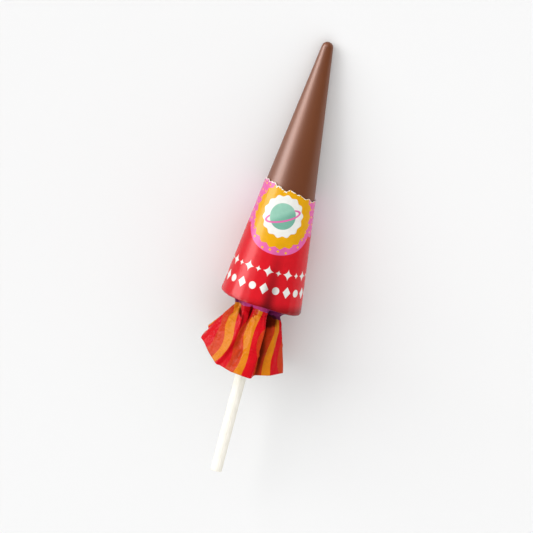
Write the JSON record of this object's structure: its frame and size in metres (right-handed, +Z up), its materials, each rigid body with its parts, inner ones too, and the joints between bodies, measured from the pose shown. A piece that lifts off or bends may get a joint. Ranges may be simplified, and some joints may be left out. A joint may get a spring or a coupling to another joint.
{
  "type": "chocolate rocket on a stick",
  "caption": "Slim cone of solid milk chocolate on a paper stick, half out of a printed paper wrapper that is gathered into a pleated skirt round the stick.",
  "frame": {"origin": "on the table, under the middle of the rocket's bounding box as it lies on the flank of its wrapped cone", "axes": "+Y along the rocket towards its tip, which is the lower end; +Z up, out of the printed front; +X to the front's right with the tip ahead"},
  "size_m": [0.0298, 0.1476, 0.0302],
  "materials": {
    "milk_chocolate": "satin",
    "printed_paper": "satin",
    "stick_paper": "matte"
  },
  "bodies": {
    "root": {"chocolate_cone": "milk_chocolate", "wrapper": "printed_paper", "stick": "stick_paper"}
  },
  "joints": []
}
